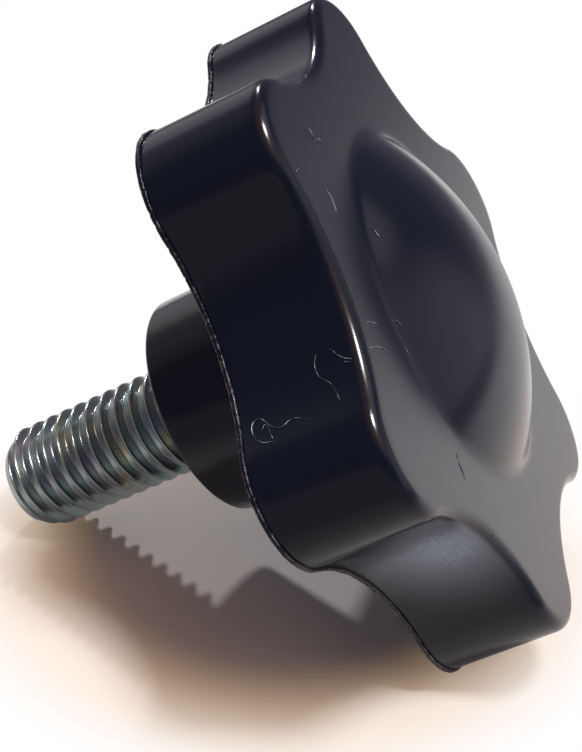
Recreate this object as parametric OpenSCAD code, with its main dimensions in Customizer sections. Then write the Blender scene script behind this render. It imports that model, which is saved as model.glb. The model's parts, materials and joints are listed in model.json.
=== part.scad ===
// Star knob screw: a six-lobed moulded knob with a hex bolt moulded into its boss.
// It is drawn upright on its own axis, with the back rim at z = 0 and the face upwards,
// and is then laid down on two lobes and the tip of the stud, as it comes to rest.

/* [Head] */
// Lobes round the head
lobe_count = 6; // [5:1:8]
// Radius over the lobe tips at the front edge
head_r = 27.65; // [26:0.05:32]
// Smallest radius of the head, at the bottom of each scallop at the front edge
scallop_r = 21.85; // [20:0.05:23]
// Radius of each lobe's round tip at the front edge
lobe_tip_r = 5.8; // [5:0.05:7]
// Height of the head from the back rim to the face
head_h = 10.4; // [9:0.1:16]
// Draft of the side wall, which widens towards the back rim
draft = 1.5; // [0.5:0.1:6]
// Radius of the front edge
edge_r = 1; // [0.5:0.1:1.5]
// How far the parting line stands out at the back rim
lip_out = 0.2; // [0.1:0.05:0.4]
// Thickness of the parting line
lip_t = 0.35; // [0.2:0.05:0.6]

/* [Dome] */
// Radius of the dome where its curve would meet the face
dome_r = 14.85; // [13:0.05:16]
// Height of the dome above the face
dome_h = 4.75; // [4:0.05:7]
// Radius of the hollow fillet round the dome's foot
dome_foot_r = 2.5; // [1:0.1:4]

/* [Cored back] */
// Thickness of the side wall
side_wall = 2.8; // [2:0.1:3.4]
// Thickness of the face
face_wall = 3; // [2:0.1:4]
// Thickness of the ribs between the boss and the side wall
rib_t = 2; // [1.5:0.1:3]
// How far the ribs stay back from the rim
rib_step = 1.2; // [0.5:0.1:3]

/* [Boss] */
// Radius of the boss
boss_r = 9.7; // [9.2:0.1:12]
// How far the boss stands out behind the back rim
boss_out = 12.7; // [6:0.05:20]
// Radius of the edge at the end of the boss
boss_edge_r = 0.4; // [0.2:0.1:2.5]
// Clearance round the thread in the recess at the end of the boss
recess_clear = 0.3; // [0.1:0.05:0.5]
// Depth of that recess
recess_deep = 0.5; // [0.2:0.1:2]

/* [Hex bolt] */
// Major diameter of the thread, 3/8 inch
thread_d = 9.525; // [8:0.005:10]
// Pitch of the thread, 16 turns to the inch
thread_pitch = 1.5875; // [1:0.0005:2]
// Length of thread that stands out of the boss
stud_out = 19.65; // [12:0.1:60]
// Length of the chamfer at the tip
tip_len = 1.6; // [0.5:0.1:2.5]
// Radius of the flat end of the tip
tip_r = 3.8; // [3:0.1:3.9]
// Width across the flats of the bolt's head, 9/16 inch
bolt_head_w = 14.29; // [12:0.01:15]
// Height of the bolt's head
bolt_head_h = 5.95; // [4:0.05:7]
// Plastic over the bolt's head at the crown of the dome
head_cover = 3.25; // [2.8:0.05:5]

/* [Hidden] */
$fn = 128;
cut_past = 1;
overlap = 0.5;
// Reach of one round face past the point where it would just touch the next
seam = 0.02;
half_pitch = 180 / lobe_count;

// Plan of the star: tip arcs and scallop arcs that touch each other, all at the front edge.
// The centres stay where they are, and only the radii change with the draft or a wall.
tip_centre_r = head_r - lobe_tip_r;
scallop_arc_r = (pow(lobe_tip_r, 2) - pow(scallop_r, 2) - pow(tip_centre_r, 2)
    + 2 * tip_centre_r * scallop_r * cos(half_pitch))
    / (2 * (scallop_r - tip_centre_r * cos(half_pitch) - lobe_tip_r));
scallop_centre_r = scallop_r + scallop_arc_r;

// Heights along the knob's axis
core_top = head_h - face_wall;
crown_z = head_h + dome_h;
bolt_head_top = crown_z - head_cover;
bolt_head_seat = bolt_head_top - bolt_head_h;
boss_end = -boss_out;
tip_end = boss_end - stud_out;

// Radii of the thread's crests and of its pitch cylinder
thread_r = thread_d / 2;
pitch_r = thread_r - 0.325 * thread_pitch;

// The dome is the top of a ball
ball_r = (pow(dome_r, 2) + pow(dome_h, 2)) / (2 * dome_h);
ball_z = crown_z - ball_r;
foot_z = head_h + dome_foot_r;
foot_centre_r = sqrt(pow(ball_r + dome_foot_r - seam, 2) - pow(foot_z - ball_z, 2));
foot_share = (ball_r - 2 * seam) / (ball_r + dome_foot_r);

// Attitude at rest, on the rims of the two lowest lobes and on the tip: at the start of its
// chamfer, or at its end if the chamfer is slender
rim_grow = head_h * tan(draft) + lip_out;
rim_reach = tip_centre_r * cos(half_pitch) + lobe_tip_r + seam + rim_grow;
lean = min(atan((rim_reach - thread_r) / -(tip_end + tip_len)), atan((rim_reach - tip_r) / -tip_end));
lift = rim_reach * cos(lean);

// Reach of the leaning knob to each side, which puts the origin midway between the two
edge_in = edge_r * (1 / cos(draft) - tan(draft));
front_reach = (tip_centre_r * cos(half_pitch) + lobe_tip_r + seam - edge_in) * sin(lean)
    + (head_h - edge_r) * cos(lean) + edge_r;
tip_reach = -tip_end * cos(lean) + tip_r * sin(lean);
midway = (front_reach - tip_reach) / 2;

// Growth of the plan by the draft at height z
function draft_grow(z) = (head_h - z) * tan(draft);

// Repeats its children at each lobe, or midway between lobes with turn = 0
module around(turn) {
    for (i = [0 : lobe_count - 1])
        rotate([0, 0, (i + turn) * 360 / lobe_count])
            children();
}

// Polygon through all the arc centres, which carries the arcs
module star_core(z0, z1) {
    points = [for (i = [0 : 2 * lobe_count - 1])
        (i % 2 == 0 ? scallop_centre_r : tip_centre_r)
            * [cos(i * half_pitch), sin(i * half_pitch)]];
    translate([0, 0, z0])
        linear_extrude(height = z1 - z0)
            polygon(points);
}

// Profile of one lobe tip, with its top edge rounded by edge
module tip_profile(z0, z1, grow, edge) {
    side = lobe_tip_r + grow + seam;
    cz = z1 - edge;
    cr = side + draft_grow(cz) - edge / cos(draft);
    corner = edge > 0 ? [[cr + edge * cos(draft), cz + edge * sin(draft)]] : [];
    polygon(concat([[0, z0], [side + draft_grow(z0), z0]], corner, [[cr, z1], [0, z1]]));
    if (edge > 0)
        translate([cr, cz])
            circle(edge);
}

// Profile of the cutter that makes one scallop, flared at the top by the same edge
module scallop_profile(z0, z1, grow, edge) {
    side = scallop_arc_r - grow;
    cz = z1 - edge;
    cr = side - draft_grow(cz) + edge / cos(draft);
    corner = edge > 0 ? [[cr - edge * cos(draft), cz + edge * sin(draft)], [cr, cz]] : [];
    low = z0 - cut_past;
    top = z1 + cut_past;
    top_r = edge > 0 ? cr : side - draft_grow(top);
    difference() {
        polygon(concat([[0, low], [side - draft_grow(low), low]], corner, [[top_r, top], [0, top]]));
        if (edge > 0)
            translate([cr, cz])
                circle(edge);
    }
}

// Cutters for all the scallops
module scallops(z0, z1, grow, edge) {
    around(0)
        translate([scallop_centre_r, 0, 0])
            rotate_extrude()
                scallop_profile(z0, z1, grow, edge);
}

// Star-shaped block between two heights, grown all round by grow
module star_block(z0, z1, grow, edge) {
    difference() {
        union() {
            star_core(z0, z1);
            around(0.5)
                translate([tip_centre_r, 0, 0])
                    rotate_extrude()
                        tip_profile(z0, z1, grow, edge);
        }
        scallops(z0, z1, grow, edge);
    }
}

// Room cored out of the back, which leaves the side wall and the face
module cored_room() {
    tip_wall_r = head_r - side_wall;
    difference() {
        translate([0, 0, -cut_past])
            cylinder(
                r1 = tip_wall_r + draft_grow(-cut_past),
                r2 = tip_wall_r + draft_grow(core_top),
                h = core_top + cut_past
            );
        scallops(-cut_past, core_top, -side_wall, 0);
    }
}

// Parting line left at the back rim
module parting_lip() {
    star_block(0, lip_t, lip_out, 0);
}

// Dome on the face, with a hollow fillet round its foot
module dome() {
    rotate_extrude() {
        intersection() {
            translate([0, ball_z])
                circle(ball_r);
            translate([0, head_h - overlap])
                square([dome_r + dome_h, dome_h + overlap + cut_past]);
        }
        difference() {
            polygon([
                [0, head_h - overlap],
                [foot_centre_r, head_h - overlap],
                [foot_centre_r, foot_z],
                [foot_share * foot_centre_r, ball_z + foot_share * (foot_z - ball_z)],
            ]);
            translate([foot_centre_r, foot_z])
                circle(dome_foot_r);
        }
    }
}

// Boss with a round edge at its end
module boss() {
    rotate_extrude() {
        polygon([
            [0, boss_end],
            [boss_r - boss_edge_r, boss_end],
            [boss_r, boss_end + boss_edge_r],
            [boss_r, core_top + overlap],
            [0, core_top + overlap],
        ]);
        translate([boss_r - boss_edge_r, boss_end + boss_edge_r])
            circle(boss_edge_r);
    }
}

// Ribs that tie the boss to the wall behind each scallop
module ribs() {
    length = scallop_r - side_wall / 2;
    around(0)
        translate([0, -rib_t / 2, rib_step])
            cube([length, rib_t, core_top + overlap - rib_step]);
}

// Shallow recess that lets the thread start clear of the boss
module recess() {
    translate([0, 0, boss_end - cut_past])
        cylinder(r = thread_r + recess_clear, h = recess_deep + cut_past);
}

// Hex head and moulded-in length of the bolt, used for the bolt and for its room in the knob.
// The plastic fills the thread here, so the shank is drawn at the thread's pitch diameter.
module moulded_in() {
    translate([0, 0, bolt_head_seat])
        cylinder(r = bolt_head_w / 2 / cos(30), h = bolt_head_h, $fn = 6);
    translate([0, 0, boss_end - overlap])
        cylinder(r = pitch_r, h = bolt_head_seat - boss_end + 2 * overlap);
}

// Lays the upright knob down as it rests
module at_rest() {
    translate([-midway, 0, lift])
        rotate([0, 90 - lean, 0])
            children();
}

module star_knob() {
    color("#2b2a2e")
        at_rest()
            difference() {
                union() {
                    difference() {
                        union() {
                            star_block(0, head_h, 0, edge_r);
                            parting_lip();
                        }
                        cored_room();
                    }
                    dome();
                    boss();
                    ribs();
                }
                moulded_in();
                recess();
            }
}

module stud_bolt() {
    color("#aebfc2")
        at_rest() {
            moulded_in();
            translate([0, 0, tip_end + tip_len])
                cylinder(r = thread_r, h = stud_out - tip_len);
            translate([0, 0, tip_end])
                cylinder(r1 = tip_r, r2 = thread_r, h = tip_len);
        }
}

star_knob();
stud_bolt();
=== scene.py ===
import json
import math

import bmesh
import bpy
import numpy as np
from mathutils import Matrix, Vector


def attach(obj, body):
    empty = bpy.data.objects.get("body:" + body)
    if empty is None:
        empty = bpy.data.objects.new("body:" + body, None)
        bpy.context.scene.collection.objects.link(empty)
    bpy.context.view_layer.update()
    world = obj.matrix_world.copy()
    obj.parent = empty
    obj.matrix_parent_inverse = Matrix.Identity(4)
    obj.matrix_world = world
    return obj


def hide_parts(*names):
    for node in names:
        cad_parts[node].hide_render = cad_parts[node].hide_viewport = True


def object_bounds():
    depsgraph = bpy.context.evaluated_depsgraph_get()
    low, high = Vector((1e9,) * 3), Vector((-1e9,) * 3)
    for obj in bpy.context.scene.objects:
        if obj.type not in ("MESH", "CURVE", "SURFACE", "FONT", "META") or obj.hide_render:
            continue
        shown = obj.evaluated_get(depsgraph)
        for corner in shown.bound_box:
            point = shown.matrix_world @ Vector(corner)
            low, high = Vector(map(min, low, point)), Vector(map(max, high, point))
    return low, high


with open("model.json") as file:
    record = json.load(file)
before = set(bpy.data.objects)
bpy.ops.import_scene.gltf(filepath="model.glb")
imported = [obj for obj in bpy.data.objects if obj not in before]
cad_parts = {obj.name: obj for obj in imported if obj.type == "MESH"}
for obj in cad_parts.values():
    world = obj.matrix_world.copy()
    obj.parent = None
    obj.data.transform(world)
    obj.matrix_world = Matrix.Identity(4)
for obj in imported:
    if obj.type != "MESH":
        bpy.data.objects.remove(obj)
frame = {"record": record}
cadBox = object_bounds()
mm = 0.001

# The knob's own axis and the middle of the boss's end, both from the frame's mounts
mounts = {mount["name"]: mount for mount in frame["record"]["mounts"]}
bossMiddle = np.array(mounts["boss_face"]["pos_m"])
towardsFace = -np.array(mounts["boss_face"]["axis"])
towardsFace /= np.linalg.norm(towardsFace)
acrossLobes = np.array([0.0, 1.0, 0.0])
downwards = np.cross(acrossLobes, towardsFace)


def linearColour(hexText):
    # sRGB hex to Blender's linear light, opaque
    parts = [int(hexText[i:i + 2], 16) / 255 for i in (0, 2, 4)]
    linear = [c / 12.92 if c <= 0.04045 else ((c + 0.055) / 1.055) ** 2.4 for c in parts]
    return linear + [1.0]


def addNode(tree, kind, settings=None, links=None):
    # Settings give a property or an input its value, and links give an input the output that
    # feeds it. An input goes by its name or its number.
    node = tree.nodes.new(kind)
    for name, value in (settings or {}).items():
        if isinstance(name, str) and hasattr(node, name) and name not in node.inputs:
            setattr(node, name, value)
        else:
            node.inputs[name].default_value = value
    for name, source in (links or {}).items():
        tree.links.new(source, node.inputs[name])
    return node


def newMaterial(name):
    # An empty material: itself, its tree and its texture coordinates
    material = bpy.data.materials.new(name)
    material.use_nodes = True
    material.node_tree.nodes.clear()
    return material, material.node_tree, addNode(material.node_tree, "ShaderNodeTexCoord")


def toFrame(x, y, z):
    # Knob axes in mm (x down the slope, y across, z towards the face, from the back rim) to the
    # frame in metres
    point = np.stack([x, y, z + headSizes["bossOut"]], axis=-1) * mm
    return bossMiddle + point @ np.stack([downwards, acrossLobes, towardsFace])


def meshPiece(name, points, faces, material):
    mesh = bpy.data.meshes.new(name)
    mesh.from_pydata(points, [], faces)
    mesh.validate()
    mesh.polygons.foreach_set("use_smooth", np.full(len(mesh.polygons), True))
    mesh.materials.append(material)
    piece = bpy.data.objects.new(name, mesh)
    bpy.context.scene.collection.objects.link(piece)
    return piece


def ringQuads(low, high):
    # Quads from each row of point numbers in low to the same row in high, closed round the rings
    return np.stack([low, np.roll(low, -1, 1), np.roll(high, -1, 1), high], -1).reshape(-1, 4)


def gridPiece(name, rings, material, startPole=None, endPole=None, closed=False):
    # rings is an array (row, around, xyz) of closed rings; a pole closes each end with a fan,
    # and a closed strip's last ring is its first one
    if closed:
        rings = rings[:-1]
    rows, around = rings.shape[:2]
    index = np.arange(rows * around).reshape(rows, around)
    low, high = (index, np.roll(index, -1, 0)) if closed else (index[:-1], index[1:])
    faces = ringQuads(low, high)[:, ::-1].tolist()
    points = rings.reshape(-1, 3)
    for pole, ring in ((startPole, index[0]), (endPole, index[-1][::-1])):
        if pole is not None:
            fan = np.stack([ring, np.roll(ring, -1), np.full(around, len(points))], axis=-1)
            points = np.vstack([points, pole])
            faces += fan.tolist()
    return meshPiece(name, points, faces, material)


def turnOutwards(piece, doubles=None):
    # Merges points closer than doubles, in m, where it is given, then turns all faces outwards
    work = bmesh.new()
    work.from_mesh(piece.data)
    if doubles:
        bmesh.ops.remove_doubles(work, verts=work.verts, dist=doubles)
    bmesh.ops.recalc_face_normals(work, faces=work.faces)
    work.to_mesh(piece.data)
    work.free()


# The moulded head: six lobes round a flat face with a dome, a cored back and a boss. All sizes of
# the pieces are in mm.
headSizes = {
    "lobes": 6,
    "tipRadius": 27.65,      # over the lobe tips, at the front edge
    "scallopRadius": 21.85,  # to the middle of a scallop, there too
    "tipArc": 5.8,
    "height": 10.4,          # without the dome
    "draft": math.radians(1.5),
    "edge": 1.0,             # radius of the front edge
    "rimEdge": 0.25,         # and of the back rim, outside
    "coreEdge": 0.3,         # and inside
    "sideWall": 2.8,
    "faceWall": 3.0,
    "coreFillet": 0.8,       # round the floor of the core
    "domeRadius": 14.85,
    "domeHeight": 4.75,
    "domeFoot": 2.5,
    "bossRadius": 9.7,
    "bossOut": 12.7,
    "bossEdge": 0.4,
    "recess": 5.06,
    "recessDeep": 0.5,
    "recessEdge": 0.15,
    "recessHidden": 4.0,     # the last ring of its floor, inside the stud
    "tipSteps": 44,
    "scallopSteps": 64,
}


def starOutline(sizes, tipSteps, scallopSteps):
    # One closed plan line: each lobe is a tip arc and then a scallop arc that touches it.
    # Returns points, outward normals and the angle round the axis; a wall follows the normals.
    half = math.pi / sizes["lobes"]
    low, arc = sizes["scallopRadius"], sizes["tipArc"]
    tipCentre = sizes["tipRadius"] - arc
    spread = arc ** 2 - low ** 2 - tipCentre ** 2 + 2 * tipCentre * low * math.cos(half)
    scallopArc = spread / (2 * (low - tipCentre * math.cos(half) - arc))
    valley = (low + scallopArc) * np.array([math.cos(half), math.sin(half)])
    sweep = math.atan2(valley[1], valley[0] - tipCentre)
    tipAngles = np.linspace(-sweep, sweep, tipSteps, endpoint=False)
    scallopSweep = math.pi + sweep, math.pi + 2 * half - sweep
    scallopAngles = np.linspace(*scallopSweep, scallopSteps, endpoint=False)
    tipDirections = np.stack([np.cos(tipAngles), np.sin(tipAngles)], axis=-1)
    scallopDirections = np.stack([np.cos(scallopAngles), np.sin(scallopAngles)], axis=-1)
    tip = [tipCentre, 0] + arc * tipDirections
    lobePoints = np.vstack([tip, valley + scallopArc * scallopDirections])
    lobeNormals = np.vstack([tipDirections, -scallopDirections])
    points, normals = [], []
    for lobe in range(sizes["lobes"]):
        angle = (2 * lobe + 1) * half
        spin = np.array([[math.cos(angle), math.sin(angle)], [-math.sin(angle), math.cos(angle)]])
        points.append(lobePoints @ spin)
        normals.append(lobeNormals @ spin)
    points, normals = np.vstack(points), np.vstack(normals)
    return points, normals, np.arctan2(points[:, 1], points[:, 0])


def arcPoints(centre, radius, start, end, steps):
    # Points (offset, height) along an arc, angles in degrees
    angles = np.radians(np.linspace(start, end, steps))
    return np.array(centre) + radius * np.stack([np.cos(angles), np.sin(angles)], axis=-1)


def headRings(sizes):
    # The whole moulding but its ribs is one closed surface: the crown of the dome, down over the
    # foot, the face, the front edge and the side to the rim, back up the cored wall, across its
    # floor, down the boss, round its edge and into the recess where the thread starts. Round the
    # axis a ring is r * circle, and along the walls it is outline + offset * normal.
    points, normals, angles = starOutline(sizes, sizes["tipSteps"], sizes["scallopSteps"])
    circle = np.stack([np.cos(angles), np.sin(angles)], axis=-1)
    slope = math.tan(sizes["draft"])
    height = sizes["height"]

    def level(ring, z):
        return np.column_stack([ring, np.full(len(ring), z)])

    def revolved(profile):
        return [level(r * circle, z) for r, z in profile]

    def walled(profile):
        return [level(points + offset * normals, z) for offset, z in profile]

    def blended(first, last, steps):
        shares = np.linspace(0, 1, steps + 1, endpoint=False)[1:]
        return [(1 - s) * first + s * last for s in shares]

    ball = (sizes["domeRadius"] ** 2 + sizes["domeHeight"] ** 2) / (2 * sizes["domeHeight"])
    ballHeight = height + sizes["domeHeight"] - ball
    foot = sizes["domeFoot"]
    footAngle = math.degrees(math.asin((height + foot - ballHeight) / (ball + foot)))
    footRadius = (ball + foot) * math.cos(math.radians(footAngle))
    besideCrown = 89.4       # degrees, where the fan of the pole takes over
    cap = arcPoints([0, ballHeight], ball, besideCrown, footAngle, 26)
    footArc = arcPoints([footRadius, height + foot], foot, footAngle + 180, 270, 8)[1:]

    edge, draft = sizes["edge"], sizes["draft"]
    edgeCentre = [edge * slope - edge / math.cos(draft), height - edge]
    front = arcPoints(edgeCentre, edge, 90, math.degrees(draft), 12)
    rimEdge, coreEdge, fillet = sizes["rimEdge"], sizes["coreEdge"], sizes["coreFillet"]
    side = [((height - z) * slope, z) for z in np.linspace(front[-1][1], rimEdge, 12)[1:]]
    rimOut, wall = height * slope, -sizes["sideWall"]
    rim = arcPoints([rimOut - rimEdge, rimEdge], rimEdge, 0, -90, 5)[1:].tolist()
    rim += arcPoints([wall + rimOut + coreEdge, coreEdge], coreEdge, -90, -180, 5).tolist()
    coreTop = height - sizes["faceWall"]
    innerHeights = np.linspace(coreEdge, coreTop - fillet, 8)[1:]
    inner = [(wall + (height - z) * slope, z) for z in innerHeights]
    floor = arcPoints([inner[-1][0] - fillet, inner[-1][1]], fillet, 0, 90, 6)[1:].tolist()

    boss, bossEdge, bossEnd = sizes["bossRadius"], sizes["bossEdge"], -sizes["bossOut"]
    bossFoot = arcPoints([boss + fillet, coreTop - fillet], fillet, 90, 180, 6).tolist()
    bossSide = [(boss, z) for z in np.linspace(coreTop - fillet, bossEnd + bossEdge, 12)[1:]]
    bossRound = arcPoints([boss - bossEdge, bossEnd + bossEdge], bossEdge, 0, -90, 10)[1:].tolist()
    recess, corner = sizes["recess"], sizes["recessEdge"]
    recessFloor = bossEnd + sizes["recessDeep"]
    recessRound = arcPoints([recess + corner, bossEnd + corner], corner, -90, -180, 5).tolist()
    recessWall = [(recess, recessFloor), (sizes["recessHidden"], recessFloor)]
    bossFace = [((boss + recess) / 2, bossEnd)] + recessRound + recessWall

    rings = revolved(cap) + revolved(footArc)
    frontRings, bossRings = walled(front), revolved(bossFoot)
    rings += blended(rings[-1], frontRings[0], 10) + frontRings
    rings += walled(side) + walled(rim) + walled(inner) + walled(floor)
    rings += blended(rings[-1], bossRings[0], 8) + bossRings
    rings += revolved(bossSide) + revolved(bossRound) + revolved(bossFace)
    return np.array(rings), [0.0, 0.0, ballHeight + ball], [0.0, 0.0, recessFloor]


def buildHead(sizes, material):
    rings, crown, recessMiddle = headRings(sizes)
    ends = [toFrame(*np.array(end)) for end in (crown, recessMiddle)]
    head = gridPiece("starHead", toFrame(*np.moveaxis(rings, -1, 0)), material, *ends)
    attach(head, "root")
    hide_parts("star_knob")
    print("head", len(head.data.polygons))


# The flash left at the parting line
lipSizes = {
    "out": 0.2,              # past the side wall
    "thick": 0.35,
    "tipSteps": 164,
    "scallopSteps": 236,
    "wave": 0.014,           # slow waviness of the trimmed edge
    "waves": [(9, 3), (61, 6)],  # length of each wave, in points along the rim, and its strength
    "nick": 0.1,             # depth of the nicks
    "nickLong": 3,           # in points
    "nickShare": 0.035,
    "seed": 11,
}


def smoothed(values, reach):
    # Running mean round a closed row, by the Fourier transform of a box
    box = np.zeros(len(values))
    box[:reach] = 1 / reach
    return np.real(np.fft.ifft(np.fft.fft(values) * np.fft.fft(np.roll(box, -(reach // 2)))))


def buildLip(sizes, head, material):
    # A closed strip round the rim: its section is a rounded slab, and the slab's reach past the
    # wall is out + wave * noise - nick * sparse noise, a little different at its two edges
    points, normals, _ = starOutline(head, sizes["tipSteps"], sizes["scallopSteps"])
    count = len(points)
    random = np.random.default_rng(sizes["seed"])
    wave = np.zeros(count)
    for length, strength in sizes["waves"]:
        wave += smoothed(random.normal(size=count), length) * strength * sizes["wave"]

    def nicks():
        cuts = (random.random(count) < sizes["nickShare"]) * random.random(count)
        return -sizes["nick"] * smoothed(cuts, sizes["nickLong"]) * sizes["nickLong"]

    reachLow, reachHigh = wave + nicks(), wave + nicks()
    wall = head["height"] * math.tan(head["draft"])
    out, thick = sizes["out"], sizes["thick"]
    # Offset from the wall, height, and the shares of the low and the high edge's raggedness
    section = [
        (-0.4, thick + 0.02, 0, 0), (-0.02, thick + 0.03, 0, 0), (0.1, thick + 0.005, 0, 0.5),
        (out - 0.04, thick - 0.005, 0, 1), (out, thick - 0.05, 0, 1),
        (out - 0.035, thick * 0.62, 0.3, 0.5), (out - 0.035, thick * 0.38, 0.5, 0.3),
        (out, 0.05, 1, 0), (out - 0.04, 0.005, 1, 0), (0.0, 0.0, 0.3, 0), (-0.4, 0.0, 0, 0)]
    cutCorners = [3, 4, 7, 8]
    rings = []
    for g, z, low, high in section + section[:1]:
        offset = wall + g + low * reachLow + high * reachHigh
        rings.append(np.column_stack([points + offset[:, None] * normals, np.full(count, z)]))
    place = toFrame(*np.moveaxis(np.array(rings), -1, 0))
    lip = gridPiece("flashLip", place, material, closed=True)
    # Points of the two cut corners, which the material paints pale: bruising, and painted glints of
    # the edges
    bruisedAndGlint = np.zeros((len(section), count))
    bruisedAndGlint[cutCorners] = 1.0
    lip.data.attributes.new("bruisedAndGlint", "FLOAT", "POINT").data.foreach_set("value", bruisedAndGlint.ravel())
    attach(lip, "root")
    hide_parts("star_knob")
    print("flash lip", len(lip.data.polygons))


# The ribs in the cored back
ribSizes = {
    "thick": 2.0,
    "step": 1.2,             # how far they stay back from the rim
    "into": 0.6,             # how far they run into the boss and the wall
    "above": 0.4,            # and into the floor of the core
    "flare": 0.55,           # fillet where a rib meets the boss and the wall
    "flareFade": 0.5,
    "draft": 0.12,
    "edge": 0.35,
    "edgeSteps": 6,
    "rows": 40,
}


def buildRibs(sizes, head, material):
    # Each rib is a rounded slab carried outwards; its half thickness grows by
    # flare * exp(-distance / flareFade) towards both ends and by the draft towards the floor
    low, edge = sizes["step"], sizes["edge"]
    top = head["height"] - head["faceWall"] + sizes["above"]
    corner = np.radians(np.linspace(0, 90, sizes["edgeSteps"]))
    side = np.column_stack([1 - edge + edge * np.cos(corner), low + edge - edge * np.sin(corner)])
    side = np.vstack([[[1.0, top]], side])
    section = np.vstack([side, side[::-1] * [-1, 1]])
    wall = head["scallopRadius"] - head["sideWall"]
    along = np.linspace(head["bossRadius"] - sizes["into"], wall + sizes["into"], sizes["rows"])
    distance = np.minimum(along - head["bossRadius"], wall - along)
    flare = sizes["flare"] * np.exp(-np.clip(distance, 0, None) / sizes["flareFade"])
    drafted = sizes["draft"] * (section[:, 1] - low) / (top - low)
    half = np.abs(section[:, 0]) * sizes["thick"] / 2 + flare[:, None] + drafted
    across = np.sign(section[:, 0]) * half
    height = np.broadcast_to(section[:, 1], across.shape)
    index = np.arange(across.size).reshape(across.shape)
    quads = ringQuads(index[:-1], index[1:])[:, ::-1]
    points, faces = [], []
    for rib in range(head["lobes"]):
        angle = 2 * math.pi * rib / head["lobes"]
        x = along[:, None] * math.cos(angle) - across * math.sin(angle)
        y = along[:, None] * math.sin(angle) + across * math.cos(angle)
        points.append(toFrame(x, y, height).reshape(-1, 3))
        first = rib * across.size
        ends = [(index[0] + first).tolist(), (index[-1][::-1] + first).tolist()]
        faces += (quads + first).tolist() + ends
    ribs = meshPiece("coreRibs", np.vstack(points), faces, material)
    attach(ribs, "root")
    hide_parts("star_knob")
    print("ribs", len(ribs.data.polygons))


# The stud, with a right-hand thread
studSizes = {
    "diameter": 9.525,
    "pitch": 1.5875,
    "length": 19.65,
    "into": 1.0,             # how far it starts inside the boss
    "tipLength": 1.6,
    "tipRadius": 3.8,
    "deep": 0.46,            # depth of thread, crest and root flats, as shares of the pitch
    "crestFlat": 0.09,
    "rootFlat": 0.34,
    "soften": 0.05,          # rounding of the corners of the profile
    "around": 144,
    "rowsPerTurn": 26,
    "samples": 2000,         # of the profile
}


def threadProfile(sizes):
    # One pitch of the profile: fall below the crest against phase, with softened corners
    samples = sizes["samples"]
    phase = np.linspace(0, 1, samples + 1)
    flank = 0.5 - (sizes["crestFlat"] + sizes["rootFlat"]) / 2
    fall = np.clip((np.abs(phase - 0.5) - sizes["crestFlat"] / 2) / flank, 0, 1)
    weights = np.hanning(2 * int(sizes["soften"] * samples) + 1)
    threePitches = np.convolve(np.tile(fall[:-1], 3), weights / weights.sum(), "same")
    return phase, threePitches[samples:2 * samples + 1] * sizes["deep"] * sizes["pitch"]


def buildStud(sizes, head, material):
    # Rows follow the helix: depth = first - pitch * row / rowsPerTurn + pitch * angle / turn, held
    # between the two ends, and radius = crest - profile(phase), cut by the cone of the chamfer.
    # The last column joins the first one a turn further on, and doubled points are merged.
    pitch, perTurn, around = sizes["pitch"], sizes["rowsPerTurn"], sizes["around"]
    start = -head["bossOut"] + sizes["into"]
    tipEnd = -head["bossOut"] - sizes["length"]
    first = start + pitch
    rows = int(math.ceil(perTurn * ((first - tipEnd) / pitch + 1))) + 2
    row = np.arange(rows)[:, None]
    turn = (np.arange(around) / around)[None, :]
    depth = np.clip(first - pitch * row / perTurn + pitch * turn, tipEnd, start)
    phase = ((first - depth) / pitch + turn) % 1
    crest, tipRadius = sizes["diameter"] / 2, sizes["tipRadius"]
    chamfer = tipRadius + (depth - tipEnd) / sizes["tipLength"] * (crest - tipRadius)
    radius = np.minimum(crest - np.interp(phase, *threadProfile(sizes)), chamfer)
    angle = 2 * math.pi * turn
    points = toFrame(radius * np.cos(angle), radius * np.sin(angle), depth).reshape(-1, 3)
    index = np.arange(rows * around).reshape(rows, around)
    low, high = index[:-1], index[1:]
    inner = np.stack([low[:, :-1], high[:, :-1], high[:, 1:], low[:, 1:]], -1).reshape(-1, 4)
    lastLow, lastHigh = low[perTurn:, -1], high[perTurn:, -1]
    seam = np.stack([lastLow, lastHigh, high[:-perTurn, 0], low[:-perTurn, 0]], -1)
    faces = inner.tolist() + seam.tolist()
    for ring, middle in ((index[0], start), (index[-1][::-1], tipEnd)):
        faces += np.stack([ring, np.roll(ring, -1), np.full(around, len(points))], -1).tolist()
        points = np.vstack([points, toFrame(*np.array([0.0, 0.0, middle]))])
    stud = meshPiece("threadedStud", points, faces, material)
    turnOutwards(stud, doubles=1e-7)
    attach(stud, "root")
    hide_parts("stud_bolt")
    print("stud", len(stud.data.polygons))


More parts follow.
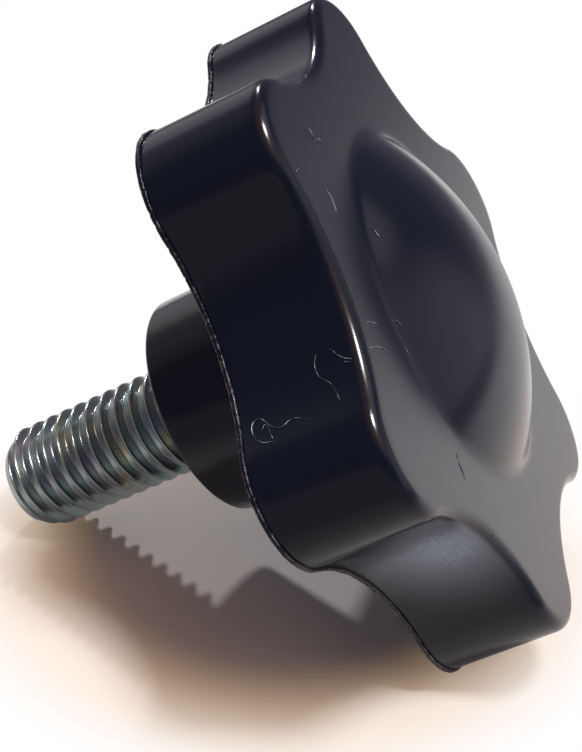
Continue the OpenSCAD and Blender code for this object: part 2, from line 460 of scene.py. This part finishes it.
# Lint on the moulding
lintSettings = {
    "around": 6,
    "steps": 7,              # rings between two points of a fibre
    "outwards": {"side": (-0.8, -0.6, 0.0), "face": (0.0, 0.0, 1.0)},
    # Radius in mm, the surface it lies on and its points on the knob's axes, in mm
    "fibres": [
        (0.028, "side", [
            (-5.75, -24.11, 1.92), (-5.86, -23.94, 2.02), (-5.99, -23.75, 2.22),
            (-5.89, -23.88, 2.43), (-5.65, -24.24, 2.53), (-5.4, -24.61, 2.64),
            (-5.27, -24.83, 2.69)]),
        (0.032, "side", [
            (-5.11, -25.08, 2.82), (-5.18, -24.98, 2.51), (-5.27, -24.87, 1.97),
            (-5.51, -24.5, 1.46), (-5.73, -24.17, 1.27), (-6.03, -23.75, 1.18),
            (-6.27, -23.41, 1.32), (-6.35, -23.3, 1.59), (-6.38, -23.25, 1.84),
            (-6.25, -23.4, 2.13), (-5.98, -23.76, 2.46), (-5.76, -24.06, 2.8),
            (-5.59, -24.29, 3.32), (-5.62, -24.22, 3.72), (-5.69, -24.11, 3.98),
            (-5.72, -24.04, 4.39), (-5.65, -24.12, 4.84), (-5.41, -24.47, 5.49)]),
        (0.024, "side", [
            (-8.29, -20.97, 7.96), (-8.0, -21.22, 8.32), (-7.71, -21.5, 8.59),
            (-7.41, -21.77, 9.03), (-7.22, -21.95, 9.51)]),
        (0.044, "side", [
            (-7.27, -21.93, 8.82), (-7.18, -22.01, 9.1), (-7.1, -22.09, 9.38)]),
        (0.018, "side", [
            (-8.18, -21.09, 7.04), (-7.73, -21.55, 6.78), (-7.3, -21.97, 6.79),
            (-6.98, -22.31, 6.99), (-6.81, -22.5, 7.24), (-6.57, -22.77, 7.56),
            (-6.21, -23.21, 7.83), (-5.89, -23.63, 7.96), (-5.64, -23.98, 8.04)]),
        (0.019, "face", [
            (-19.71, -8.46, 10.45), (-19.36, -8.21, 10.45), (-18.84, -8.42, 10.45),
            (-18.57, -8.36, 10.45)]),
        (0.019, "face", [
            (-18.61, -8.67, 10.45), (-18.41, -7.55, 10.45), (-18.18, -7.38, 10.45),
            (-17.86, -7.01, 10.45)]),
        (0.022, "face", [
            (-18.81, -15.2, 10.45), (-18.85, -14.72, 10.45), (-18.66, -14.47, 10.45),
            (-18.55, -14.78, 10.45)]),
        (0.019, "face", [
            (-15.81, -11.69, 10.45), (-15.26, -11.6, 10.45), (-14.76, -11.8, 10.45),
            (-14.18, -12.22, 10.45)]),
        (0.015, "face", [
            (-8.15, -18.98, 10.45), (-7.53, -17.69, 10.45), (-6.81, -16.67, 10.45)]),
        (0.019, "face", [
            (-6.85, -20.45, 10.45), (-6.23, -19.19, 10.45), (-5.4, -18.03, 10.45),
            (-5.02, -17.81, 10.45)]),
        (0.022, "face", [
            (-5.59, -14.02, 10.51), (-5.37, -13.64, 10.66), (-5.13, -13.52, 10.75),
            (-4.76, -13.55, 10.8), (-4.4, -13.81, 10.73)]),
        (0.014, "face", [
            (-4.5, -14.3, 10.54), (-3.87, -14.45, 10.55), (-3.12, -14.56, 10.57),
            (-2.57, -14.58, 10.6)]),
        (0.028, "face", [
            (-11.18, -8.92, 10.84), (-10.99, -8.83, 10.97), (-10.75, -8.83, 11.09)]),
        (0.031, "face", [
            (-10.85, -8.8, 11.06), (-10.52, -8.96, 11.16), (-10.09, -9.13, 11.29)]),
    ],
}

# The burrs of scratches in the moulding
burrSettings = {
    **lintSettings,
    "fibres": [
        (0.045, "face", [
            (5.08, -16.13, 10.4), (5.45, -16.41, 10.4), (5.84, -16.8, 10.4), (6.36, -17.01, 10.4),
            (6.75, -17.39, 10.4)]),
        (0.05, "face", [
            (10.41, -18.16, 10.4), (10.62, -18.02, 10.4)]),
        (0.05, "face", [
            (10.9, -18.02, 10.4), (11.08, -17.82, 10.4)]),
        (0.06, "face", [
            (11.3, -17.66, 10.4), (11.52, -17.45, 10.4)]),
        (0.05, "face", [
            (11.86, -17.22, 10.4), (12.05, -17.02, 10.4)]),
        (0.05, "face", [
            (11.55, -18.1, 10.39), (11.72, -17.92, 10.39)]),
        (0.06, "side", [
            (-12.62, -18.02, 9.96), (-12.64, -17.92, 10.06), (-12.68, -17.74, 10.15)]),
    ],
}


def buildFibres(name, sizes, material):
    # Each fibre is a thin tube along a spline: Catmull-Rom through its points, with a circle of
    # radius * (0.55 + 0.45 sin(pi s)) across it
    rings, faces, first = [], [], 0
    share = np.linspace(0, 1, sizes["steps"], endpoint=False)[None, :, None]
    turn = 2 * math.pi * np.arange(sizes["around"])[None, :, None] / sizes["around"]
    for radius, surface, points in sizes["fibres"]:
        p = np.array(points)
        p = np.vstack([2 * p[0] - p[1], p, 2 * p[-1] - p[-2]])
        a, b, c, d = (p[i:len(p) - 3 + i, None, :] for i in range(4))
        line = 0.5 * (2 * b + (c - a) * share + (2 * a - 5 * b + 4 * c - d) * share ** 2
                      + (3 * b - a - 3 * c + d) * share ** 3)
        line = np.vstack([line.reshape(-1, 3), p[-2:-1]])
        along = np.gradient(line, axis=0)
        along /= np.linalg.norm(along, axis=1)[:, None]
        out = np.tile(sizes["outwards"][surface], (len(line), 1))
        out -= (out * along).sum(1)[:, None] * along
        out /= np.linalg.norm(out, axis=1)[:, None]
        across = np.cross(along, out)
        taper = 0.55 + 0.45 * np.sin(math.pi * np.linspace(0, 1, len(line)))
        circle = np.cos(turn) * out[:, None, :] + np.sin(turn) * across[:, None, :]
        rings.append((line[:, None, :] + radius * taper[:, None, None] * circle).reshape(-1, 3))
        index = first + np.arange(len(line) * sizes["around"]).reshape(len(line), -1)
        faces += ringQuads(index[:-1], index[1:]).tolist()
        faces += [index[0][::-1].tolist(), index[-1].tolist()]
        first += index.size
    fibres = meshPiece(name, toFrame(*np.vstack(rings).T), faces, material)
    turnOutwards(fibres)
    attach(fibres, "root")
    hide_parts("star_knob")
    print(name, len(fibres.data.polygons))


plasticFinish = {
    "body": "0a1022",
    # pale grey of the rubbed patch: scratches, and painted sheen of the lamp
    "scratchedAndSheen": "b4c2d0",
    "ior": 1.54,
    "rough": 0.17,
    "satin": 0.1,                        # roughness that the flat face adds
    "satinTurn": (0.93, 0.995),          # cosines of the turn from the front edge to the face
    # Bumps in a mm: 0.15 mm each, coarser than the real skin's, which are too fine to show
    "grain": 6.5,
    "grainHigh": 0.02,
    "scuffMiddle": (10.4, -19.4, 7.2),   # rubbed patch in the scallop by the lowest lobe
    "scuffReach": (0.84, 4.2),           # where it is strongest, and where it ends
    "scuffRough": 0.44,
    "streaks": 3.2,                      # in a mm, so 0.3 mm across
    "streakCut": (0.35, 0.62),
    # paler base colour round the rubbed patch: scratch haze, partly painted sheen of the lamp
    "hazeAndSheen": 0.92,
    "hazeAndSheenReach": 8.5,
    "hazeAndSheenStreaks": (0.75, 1.25),         # its strength between the streaks and in them
    "hazeAndSheenTurn": (0.55, 0.15),            # cosines over which it ends at the front edge
}


def mouldedPlastic(name, finish):
    # Injection-moulded black ABS from a polished mould: a blue-black body under a smooth skin, so
    # nearly all that is seen of it is what it mirrors. The skin is rubbed duller in one scallop and
    # painted paler round it, for scratches and as painted sheen of the lamp, and very fine
    # unevenness of the moulding keeps its reflections from looking like glass.
    material, tree, texture = newMaterial(name)
    place = texture.outputs["Object"]
    away = addNode(tree, "ShaderNodeVectorMath", {
        "operation": "DISTANCE", 1: toFrame(*np.array(finish["scuffMiddle"]))}, {0: place})
    patch = addNode(tree, "ShaderNodeMapRange", {
        "interpolation_type": "SMOOTHSTEP", "From Min": finish["scuffReach"][1] * mm,
        "From Max": finish["scuffReach"][0] * mm}, {"Value": away.outputs["Value"]})
    # Rubbing comes in streaks
    noise = addNode(tree, "ShaderNodeTexNoise", {
        "Scale": finish["streaks"] / mm, "Detail": 3.0, "Roughness": 0.65}, {"Vector": place})
    streak = addNode(tree, "ShaderNodeMapRange", {
        "From Min": finish["streakCut"][0], "From Max": finish["streakCut"][1]},
        {"Value": noise.outputs[0]})
    rubbed = addNode(tree, "ShaderNodeMath", {"operation": "MULTIPLY"},
                     {0: patch.outputs[0], 1: streak.outputs[0]})
    duller = addNode(tree, "ShaderNodeMapRange", {
        "To Min": finish["rough"], "To Max": finish["scuffRough"]}, {"Value": rubbed.outputs[0]})
    # The flat face came from a satin part of the mould, and the rest from a polished one
    facing = addNode(tree, "ShaderNodeVectorMath", {
        "operation": "DOT_PRODUCT", 1: towardsFace}, {0: texture.outputs["Normal"]})
    satin = addNode(tree, "ShaderNodeMapRange", {
        "interpolation_type": "SMOOTHSTEP", "From Min": finish["satinTurn"][0],
        "From Max": finish["satinTurn"][1], "To Max": finish["satin"]},
        {"Value": facing.outputs["Value"]})
    rough = addNode(tree, "ShaderNodeMath", {"operation": "ADD"},
                    {0: duller.outputs[0], 1: satin.outputs[0]})
    # Grey haze of fine scratches round the patch, painted paler into the base colour, which is also
    # a painted sheen of the lamp there, stronger in its streaks. It ends where the front edge turns
    # into the face.
    film = addNode(tree, "ShaderNodeMapRange", {
        "interpolation_type": "SMOOTHSTEP", "From Min": finish["hazeAndSheenReach"] * mm, "From Max": 0.0,
        "To Max": finish["hazeAndSheen"]}, {"Value": away.outputs["Value"]})
    heavier = addNode(tree, "ShaderNodeMapRange", {
        "To Min": finish["hazeAndSheenStreaks"][0], "To Max": finish["hazeAndSheenStreaks"][1]},
        {"Value": rubbed.outputs[0]})
    hazeAndSheen = addNode(tree, "ShaderNodeMath", {"operation": "MULTIPLY", "use_clamp": True},
                   {0: film.outputs[0], 1: heavier.outputs[0]})
    aside = addNode(tree, "ShaderNodeMapRange", {
        "From Min": finish["hazeAndSheenTurn"][0], "From Max": finish["hazeAndSheenTurn"][1]},
        {"Value": facing.outputs["Value"]})
    share = addNode(tree, "ShaderNodeMath", {"operation": "MULTIPLY"},
                    {0: hazeAndSheen.outputs[0], 1: aside.outputs[0]})
    # painted sheen: the base colour turns pale round the rubbed patch, partly for its scratches
    body = addNode(tree, "ShaderNodeMix", {
        "data_type": "RGBA", 6: linearColour(finish["body"]),
        7: linearColour(finish["scratchedAndSheen"])}, {"Factor": share.outputs[0]})
    grain = addNode(tree, "ShaderNodeTexNoise", {
        "Scale": finish["grain"] / mm, "Detail": 1.0}, {"Vector": place})
    bump = addNode(tree, "ShaderNodeBump", {
        "Strength": 0.06, "Distance": finish["grainHigh"] * mm}, {"Height": grain.outputs[0]})
    shader = addNode(tree, "ShaderNodeBsdfPrincipled", {"IOR": finish["ior"]},
                     {"Base Color": body.outputs[2], "Roughness": rough.outputs[0],
                      "Normal": bump.outputs[0]})
    addNode(tree, "ShaderNodeOutputMaterial", {}, {"Surface": shader.outputs["BSDF"]})
    return material


flashFinish = {
    "body": "0b0f22",
    # pale of the cut corners: bruising, and painted glints of the edges
    "bruisedAndGlint": "86817b",
    "ior": 1.54,
    # roughness of the whole flash, and of its bruised corners with their painted glints
    "rough": (0.2, 0.55),    # whole and bruised
    "dashes": 1.4,           # in a mm, so 0.7 mm long
    "dashCut": (0.47, 0.66),
}


def trimmedFlash(name, finish):
    # The thin flash where the mould halves met, cut back by hand: black ABS whose two cut corners
    # are painted pale in dashes a few tenths of a millimetre long, partly bruising of the trim and
    # partly painted glints of the edges
    material, tree, texture = newMaterial(name)
    corner = addNode(tree, "ShaderNodeAttribute", {"attribute_name": "bruisedAndGlint"})
    noise = addNode(tree, "ShaderNodeTexNoise", {
        "Scale": finish["dashes"] / mm, "Detail": 3.0, "Roughness": 0.7},
        {"Vector": texture.outputs["Object"]})
    dash = addNode(tree, "ShaderNodeMapRange", {
        "From Min": finish["dashCut"][0], "From Max": finish["dashCut"][1]},
        {"Value": noise.outputs[0]})
    # painted glint: pale dashes on the cut corners, partly bruising of the trim
    share = addNode(tree, "ShaderNodeMath", {"operation": "MULTIPLY"},
                    {0: corner.outputs["Fac"], 1: dash.outputs[0]})
    colour = addNode(tree, "ShaderNodeMix", {
        "data_type": "RGBA", 6: linearColour(finish["body"]),
        7: linearColour(finish["bruisedAndGlint"])}, {"Factor": share.outputs[0]})
    rough = addNode(tree, "ShaderNodeMapRange", {
        "To Min": finish["rough"][0], "To Max": finish["rough"][1]}, {"Value": share.outputs[0]})
    shader = addNode(tree, "ShaderNodeBsdfPrincipled", {"IOR": finish["ior"]},
                     {"Base Color": colour.outputs[2], "Roughness": rough.outputs[0]})
    addNode(tree, "ShaderNodeOutputMaterial", {}, {"Surface": shader.outputs["BSDF"]})
    return material


lintFinish = {
    "dull": "3c4a52",
    # pale colour of the painted glints
    "paintedGlint": "e4f2f6",
    "ior": 1.55,
    "rough": 0.3,
    "glints": 1.5,           # in a mm, so 0.7 mm long
    "glintCut": (0.42, 0.66),
}


def textileFibre(name, finish):
    # Bluish white polyester lint: thin and see-through, dull but for painted glints under a
    # millimetre long, where noise turns its colour pale as a length of it would look catching the
    # light
    material, tree, texture = newMaterial(name)
    noise = addNode(tree, "ShaderNodeTexNoise", {
        "Scale": finish["glints"] / mm, "Detail": 1.0}, {"Vector": texture.outputs["Object"]})
    glint = addNode(tree, "ShaderNodeMapRange", {
        "From Min": finish["glintCut"][0], "From Max": finish["glintCut"][1]},
        {"Value": noise.outputs[0]})
    # painted glint: noise mixes the dull colour with a pale one along the fibre
    colour = addNode(tree, "ShaderNodeMix", {
        "data_type": "RGBA", 6: linearColour(finish["dull"]),
        7: linearColour(finish["paintedGlint"])}, {"Factor": glint.outputs[0]})
    shader = addNode(tree, "ShaderNodeBsdfPrincipled", {
        "Roughness": finish["rough"], "IOR": finish["ior"]}, {"Base Color": colour.outputs[2]})
    addNode(tree, "ShaderNodeOutputMaterial", {}, {"Surface": shader.outputs["BSDF"]})
    return material


zincFinish = {
    "bands": 0.33,           # of tint in a mm, so 3 mm wide
    "tints": [(0.3, "adacb4"), (0.42, "adb4b8"), (0.5, "a9bcbc"), (0.6, "b2bdb6"), (0.7, "bfbca8")],
    "smears": 5.0,           # in a mm, so 0.2 mm across
    "rough": (0.2, 0.3),
}


def platedSteel(name, finish):
    # Rolled steel thread, bright zinc plate with a thin blue passivation film: a soft mirror whose
    # tint drifts from blue-green to straw and violet with the film's thickness, in slow bands.
    # Rolling leaves it uneven in small smears.
    material, tree, texture = newMaterial(name)
    film = addNode(tree, "ShaderNodeTexNoise", {
        "Scale": finish["bands"] / mm, "Detail": 1.0}, {"Vector": texture.outputs["Object"]})
    tint = addNode(tree, "ShaderNodeValToRGB", {}, {"Fac": film.outputs[0]})
    tints = finish["tints"]
    ramp = tint.color_ramp
    for element, (position, colour) in zip(ramp.elements, (tints[0], tints[-1])):
        element.position, element.color = position, linearColour(colour)
    for position, colour in tints[1:-1]:
        ramp.elements.new(position).color = linearColour(colour)
    smear = addNode(tree, "ShaderNodeTexNoise", {
        "Scale": finish["smears"] / mm, "Detail": 2.0}, {"Vector": texture.outputs["Object"]})
    rough = addNode(tree, "ShaderNodeMapRange", {
        "To Min": finish["rough"][0], "To Max": finish["rough"][1]}, {"Value": smear.outputs[0]})
    shader = addNode(tree, "ShaderNodeBsdfPrincipled", {"Metallic": 1.0},
                     {"Base Color": tint.outputs[0], "Roughness": rough.outputs[0]})
    addNode(tree, "ShaderNodeOutputMaterial", {}, {"Surface": shader.outputs["BSDF"]})
    return material


cameraSettings = {
    "middle": (-0.042, -0.218, 18.027),   # the point that the camera looks at, mm
    "azimuth": 9.087,
    "elevation": 29.182,
    "roll": 3.453,
    "distance": 130.869,
    "lens": 73.966,
    "sensor": 36.0,
    "nearest": 0.005,        # m
}


def buildCamera(settings):
    camera = bpy.data.objects.new("camera", bpy.data.cameras.new("camera"))
    bpy.context.scene.collection.objects.link(camera)
    azimuth, elevation = math.radians(settings["azimuth"]), math.radians(settings["elevation"])
    back = Vector([math.sin(azimuth) * math.cos(elevation),
                   -math.cos(azimuth) * math.cos(elevation), math.sin(elevation)])
    eye = Vector(settings["middle"]) * mm + back * settings["distance"] * mm
    roll = Matrix.Rotation(math.radians(settings["roll"]), 4, "Z").to_quaternion()
    turned = (-back).to_track_quat("-Z", "Y") @ roll
    camera.matrix_world = Matrix.Translation(eye) @ turned.to_matrix().to_4x4()
    camera.data.lens = settings["lens"]
    camera.data.sensor_width = settings["sensor"]
    camera.data.clip_start = settings["nearest"]
    bpy.context.scene.camera = camera
    print("camera")


studioSettings = {
    # The main lamp, high at the right, and a small weak one low behind: azimuth, elevation in
    # degrees, distance and disc width in m, power in W, colour
    "lamps": [
        (-19, 71.5, 1.0, 0.22, 7.8, (0.95, 0.98, 1.0)),
        (104, 39, 1.0, 0.05, 2.9, (1.0, 0.96, 0.97)),
    ],
    "aim": (0, 0, 0.02),     # of the lamps, m
    "room": (0.10, 0.095, 0.11),
    # Soft panels round the set: azimuth, elevation, full and outer half angles in degrees, colour
    "panels": [
        (14, 5, 17, 40, (0.43, 0.39, 0.43)),
        (75, -3, 8, 24, (0.07, 0.05, 0.08)),
        (39, 54, 6, 20, (0.50, 0.46, 0.46)),
        (-130, 5, 20, 65, (0.0, 0.002, 0.028)),
        (-15, 54, 12, 34, (0.36, 0.29, 0.25)),
        (130, 18, 6, 24, (0.48, 0.48, 0.50)),
        (165, 15, 10, 35, (0.16, 0.16, 0.16)),
        (-60, 80, 10, 50, (0.32, 0.13, 0.02)),
    ],
    "card": "faf5f1",
    # painted glow: the card's emission is this warm colour at the rim of the shadow, white further
    # out
    "rim": "ffcb8c",         # the card's own light glows warm at the rim of the shadow
    # Distances over which the card turns from lit to clear white, for the camera and for
    # mirrored rays, and over which it ends in what the knob mirrors, in m
    "clear": (0.015, 0.032),
    "mirrored": (0.05, 0.08),
    "cardEnd": (0.17, 0.25),
    "cardMiddle": (0.03, 0.19, 0.0),
    "table": (0.23, 0.215, 0.23),
    "floorReach": 8.0,       # far enough that no view sees past it, m
}


def direction(azimuth, elevation):
    a, e = math.radians(azimuth), math.radians(elevation)
    return Vector([math.cos(e) * math.cos(a), math.cos(e) * math.sin(a), math.sin(e)])


def buildWorld(settings):
    # A dim room and a few soft panels, each a smooth step of the angle from its middle
    world = bpy.data.worlds.new("studio")
    bpy.context.scene.world = world
    world.use_nodes = True
    tree = world.node_tree
    tree.nodes.clear()
    around = addNode(tree, "ShaderNodeTexCoord").outputs["Generated"]
    total = addNode(tree, "ShaderNodeBackground", {"Color": [*settings["room"], 1]}).outputs[0]
    for azimuth, elevation, inner, outer, colour in settings["panels"]:
        facing = addNode(tree, "ShaderNodeVectorMath", {
            "operation": "DOT_PRODUCT", 1: direction(azimuth, elevation)}, {0: around})
        step = addNode(tree, "ShaderNodeMapRange", {
            "interpolation_type": "SMOOTHSTEP", "From Min": math.cos(math.radians(outer)),
            "From Max": math.cos(math.radians(inner))}, {"Value": facing.outputs["Value"]})
        panel = addNode(tree, "ShaderNodeBackground", {"Color": [*colour, 1]},
                        {"Strength": step.outputs[0]})
        both = addNode(tree, "ShaderNodeAddShader", {}, {0: total, 1: panel.outputs[0]})
        total = both.outputs[0]
    addNode(tree, "ShaderNodeOutputWorld", {}, {"Surface": total})


def buildFloor(settings):
    # White card: lit near the knob so that it takes the shadow, clear white further out for the
    # camera and for mirrored and refracted rays, with a painted warm glow at the rim of the shadow
    # where the white starts, and ending in a dim table for all but the camera
    material, tree, texture = newMaterial("whiteCard")
    path = addNode(tree, "ShaderNodeLightPath")
    level, reach = cadBox[0][2], settings["floorReach"]

    def further(middle, distances):
        # A smooth step of the distance from a point
        away = addNode(tree, "ShaderNodeVectorMath", {
            "operation": "DISTANCE", 1: middle}, {0: texture.outputs["Object"]})
        return addNode(tree, "ShaderNodeMapRange", {
            "interpolation_type": "SMOOTHSTEP", "From Min": distances[0],
            "From Max": distances[1]}, {"Value": away.outputs["Value"]}).outputs[0]

    clear = further((0, 0, level), settings["clear"])
    mirrored = further((0, 0, level), settings["mirrored"])
    cardEnd = further(settings["cardMiddle"], settings["cardEnd"])
    seen = addNode(tree, "ShaderNodeMath", {"operation": "MULTIPLY"},
                   {0: clear, 1: path.outputs["Is Camera Ray"]})
    bounced = addNode(tree, "ShaderNodeMath", {"operation": "ADD"},
                      {0: path.outputs["Is Glossy Ray"], 1: path.outputs["Is Transmission Ray"]})
    reflected = addNode(tree, "ShaderNodeMath", {"operation": "MULTIPLY"},
                        {0: mirrored, 1: bounced.outputs[0]})
    share = addNode(tree, "ShaderNodeMath", {"operation": "ADD", "use_clamp": True},
                    {0: seen.outputs[0], 1: reflected.outputs[0]})
    unseen = addNode(tree, "ShaderNodeMath", {"operation": "SUBTRACT", 0: 1.0},
                     {1: path.outputs["Is Camera Ray"]})
    ended = addNode(tree, "ShaderNodeMath", {"operation": "MULTIPLY"},
                    {0: cardEnd, 1: unseen.outputs[0]})
    # painted glow: warm emission at the rim of the shadow, turning white further out
    clearWhiteAndRimGlow = addNode(tree, "ShaderNodeMix", {
        "data_type": "RGBA", 6: linearColour(settings["rim"]), 7: [1, 1, 1, 1]}, {"Factor": clear})
    card = addNode(tree, "ShaderNodeBsdfDiffuse", {"Color": linearColour(settings["card"])})
    white = addNode(tree, "ShaderNodeEmission", {"Strength": 1.0}, {"Color": clearWhiteAndRimGlow.outputs[2]})
    table = addNode(tree, "ShaderNodeEmission", {"Color": [*settings["table"], 1]})
    cleared = addNode(tree, "ShaderNodeMixShader",
                      {}, {0: share.outputs[0], 1: card.outputs[0], 2: white.outputs[0]})
    surface = addNode(tree, "ShaderNodeMixShader",
                      {}, {0: ended.outputs[0], 1: cleared.outputs[0], 2: table.outputs[0]})
    addNode(tree, "ShaderNodeOutputMaterial", {}, {"Surface": surface.outputs[0]})
    corners = [[x * reach, y * reach, level] for x, y in ((-1, -1), (1, -1), (1, 1), (-1, 1))]
    floor = meshPiece("floor", corners, [[0, 1, 2, 3]], material)


def buildLamps(settings):
    aim = Vector(settings["aim"])
    for number, lampSettings in enumerate(settings["lamps"]):
        azimuth, elevation, distance, width, power, colour = lampSettings
        lamp = bpy.data.lights.new(f"lamp{number}", "AREA")
        lamp.shape = "DISK"
        lamp.size = width
        lamp.energy = power
        lamp.color = colour
        holder = bpy.data.objects.new(f"lamp{number}", lamp)
        bpy.context.scene.collection.objects.link(holder)
        holder.location = aim + direction(azimuth, elevation) * distance
        holder.rotation_euler = (aim - holder.location).to_track_quat("-Z", "Y").to_euler()


def buildStudio(settings):
    bpy.context.scene.view_settings.view_transform = "Standard"
    buildWorld(settings)
    buildFloor(settings)
    buildLamps(settings)
    print("studio")


buildCamera(cameraSettings)
plastic = mouldedPlastic("mouldedBlackAbs", plasticFinish)
buildHead(headSizes, plastic)
buildLip(lipSizes, headSizes, trimmedFlash("trimmedFlashAbs", flashFinish))
buildRibs(ribSizes, headSizes, plastic)
buildStud(studSizes, headSizes, platedSteel("zincPlatedSteel", zincFinish))
buildFibres("lintFibres", lintSettings, textileFibre("polyesterLint", lintFinish))
buildFibres("scratchBurrs", burrSettings, plastic)
buildStudio(studioSettings)
